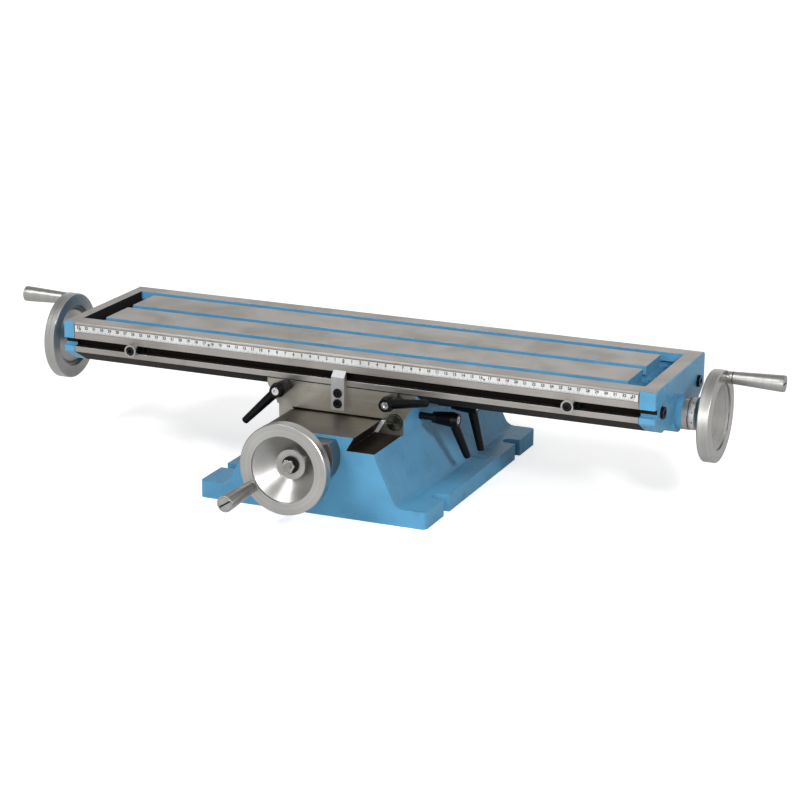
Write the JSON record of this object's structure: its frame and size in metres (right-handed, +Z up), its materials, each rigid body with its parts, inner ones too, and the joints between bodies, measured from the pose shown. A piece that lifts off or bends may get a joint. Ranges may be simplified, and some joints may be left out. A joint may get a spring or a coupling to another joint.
{
  "type": "cross slide table",
  "caption": "Two-axis cross slide table: slotted work table on a saddle and cast base, moved by leadscrews with dished handwheels, with clamping levers.",
  "frame": {"origin": "centre of the base casting's footprint, on the plane it stands on", "axes": "+X along the table to the end with the graduated dial, +Y away from the front handwheel, +Z up"},
  "size_m": [0.9259, 0.4663, 0.1652],
  "materials": {
    "blue_paint": "smooth enamel over cast iron",
    "ground_iron": "surface ground",
    "turned_steel": "turned",
    "turned_aluminium": "turned and polished",
    "milled_aluminium": "milled",
    "blackened_steel": "black oxide",
    "lever_black": "black powder coat",
    "bright_steel": "bright",
    "bronze": "machined bronze",
    "rule_white": "white enamel with black graduations"
  },
  "bodies": {
    "base": {"base_casting": "blue_paint", "cross_bearing": "turned_steel", "cross_bearing_screws": "blackened_steel"},
    "saddle": {"saddle_casting": "ground_iron", "cross_gib": "bright_steel", "long_gib": "bright_steel", "gib_screws": "blackened_steel", "long_nut": "bronze", "cross_nut": "bronze", "stop_block": "milled_aluminium", "stop_block_screws": "blackened_steel"},
    "table": {"table": "ground_iron", "rule": "rule_white", "rule_rivets": "bright_steel", "right_bracket": "blue_paint", "left_bracket": "blue_paint", "right_bracket_screws": "blackened_steel", "left_bracket_screws": "blackened_steel"},
    "long_screw": {"long_screw": "turned_steel", "left_spacer": "turned_steel", "right_wheel": "turned_aluminium", "left_wheel": "turned_aluminium", "right_washer": "blackened_steel", "left_washer": "blackened_steel", "right_nut": "bright_steel", "left_nut": "bright_steel", "right_handle_bolt": "turned_steel", "left_handle_bolt": "turned_steel"},
    "right_dial": {"right_dial": "bright_steel"},
    "right_grip": {"right_handle": "turned_steel"},
    "left_grip": {"left_handle": "turned_steel"},
    "cross_screw": {"cross_screw": "turned_steel", "front_wheel": "turned_aluminium", "front_washer": "blackened_steel", "front_nut": "bright_steel", "front_handle_bolt": "turned_steel"},
    "front_dial": {"front_dial": "bright_steel"},
    "front_grip": {"front_handle": "turned_steel"},
    "left_stop": {"left_stop": "turned_steel", "left_stop_screw": "blackened_steel", "left_stop_shoe": "blackened_steel"},
    "right_stop": {"right_stop": "turned_steel", "right_stop_screw": "blackened_steel", "right_stop_shoe": "blackened_steel"},
    "left_lever": {"left_lever_stud": "turned_steel", "left_lever_cap_screw": "bright_steel"},
    "left_lever_arm": {"left_lever_arm": "lever_black"},
    "right_lever": {"right_lever_stud": "turned_steel", "right_lever_cap_screw": "bright_steel"},
    "right_lever_arm": {"right_lever_arm": "lever_black"},
    "side_lever_a": {"side_lever_a_stud": "turned_steel", "side_lever_a_cap_screw": "bright_steel"},
    "side_lever_a_arm": {"side_lever_a_arm": "lever_black"},
    "side_lever_b": {"side_lever_b_stud": "turned_steel", "side_lever_b_cap_screw": "bright_steel"},
    "side_lever_b_arm": {"side_lever_b_arm": "lever_black"}
  },
  "joints": [
    {"name": "saddle_slide", "type": "slide", "parent": "base", "child": "saddle", "axis": [0, 1, 0], "range_m": [-0.086, 0.094]},
    {"name": "table_slide", "type": "slide", "parent": "saddle", "child": "table", "axis": [1, 0, 0], "range_m": [-0.211, 0.237]},
    {"name": "long_screw_turn", "type": "hinge", "parent": "table", "child": "long_screw", "pos_m": [0.005, -0.004, 0.1152], "axis": [1, 0, 0], "range_deg": [-15300, 17200]},
    {"name": "cross_screw_turn", "type": "hinge", "parent": "base", "child": "cross_screw", "pos_m": [-0.001, -0.1, 0.069], "axis": [0, 1, 0], "range_deg": [-6300, 6900]},
    {"name": "right_dial_turn", "type": "hinge", "parent": "long_screw", "child": "right_dial", "pos_m": [0.376, -0.004, 0.1152], "axis": [1, 0, 0], "continuous": true},
    {"name": "front_dial_turn", "type": "hinge", "parent": "cross_screw", "child": "front_dial", "pos_m": [-0.001, -0.207, 0.069], "axis": [0, 1, 0], "continuous": true},
    {"name": "right_grip_spin", "type": "hinge", "parent": "long_screw", "child": "right_grip", "pos_m": [0.43, 0.01417, 0.15417], "axis": [1, 0, 0], "continuous": true},
    {"name": "left_grip_spin", "type": "hinge", "parent": "long_screw", "child": "left_grip", "pos_m": [-0.43, 0.01417, 0.15417], "axis": [1, 0, 0], "continuous": true},
    {"name": "front_grip_spin", "type": "hinge", "parent": "cross_screw", "child": "front_grip", "pos_m": [-0.03706, -0.26, 0.04558], "axis": [0, 1, 0], "continuous": true},
    {"name": "left_lever_turn", "type": "hinge", "parent": "saddle", "child": "left_lever", "pos_m": [-0.063, -0.094, 0.1175], "axis": [0, -1, 0], "range_deg": [-60, 12]},
    {"name": "left_lever_lift", "type": "slide", "parent": "left_lever", "child": "left_lever_arm", "axis": [0, -1, 0], "range_m": [0, 0.004], "stiffness_N_per_m": 1000, "springref_m": -0.004},
    {"name": "right_lever_turn", "type": "hinge", "parent": "saddle", "child": "right_lever", "pos_m": [0.067, -0.094, 0.1175], "axis": [0, -1, 0], "range_deg": [-30, 60]},
    {"name": "right_lever_lift", "type": "slide", "parent": "right_lever", "child": "right_lever_arm", "axis": [0, -1, 0], "range_m": [0, 0.004], "stiffness_N_per_m": 1000, "springref_m": -0.004},
    {"name": "side_lever_a_turn", "type": "hinge", "parent": "saddle", "child": "side_lever_a", "pos_m": [0.079, -0.049, 0.0874], "axis": [1, 0, 0], "range_deg": [-75, 15]},
    {"name": "side_lever_a_lift", "type": "slide", "parent": "side_lever_a", "child": "side_lever_a_arm", "axis": [1, 0, 0], "range_m": [0, 0.004], "stiffness_N_per_m": 1000, "springref_m": -0.004},
    {"name": "side_lever_b_turn", "type": "hinge", "parent": "saddle", "child": "side_lever_b", "pos_m": [0.079, 0.008, 0.0874], "axis": [1, 0, 0], "range_deg": [-15, 75]},
    {"name": "side_lever_b_lift", "type": "slide", "parent": "side_lever_b", "child": "side_lever_b_arm", "axis": [1, 0, 0], "range_m": [0, 0.004], "stiffness_N_per_m": 1000, "springref_m": -0.004},
    {"name": "left_stop_slide", "type": "slide", "parent": "table", "child": "left_stop", "axis": [1, 0, 0], "range_m": [-0.06, 0.004]},
    {"name": "right_stop_slide", "type": "slide", "parent": "table", "child": "right_stop", "axis": [1, 0, 0], "range_m": [-0.004, 0.06]}
  ],
  "couplings": [
    {"joint": "long_screw_turn", "follows": "table_slide", "rad_per_m": 1256.6},
    {"joint": "cross_screw_turn", "follows": "saddle_slide", "rad_per_m": 1256.6}
  ]
}
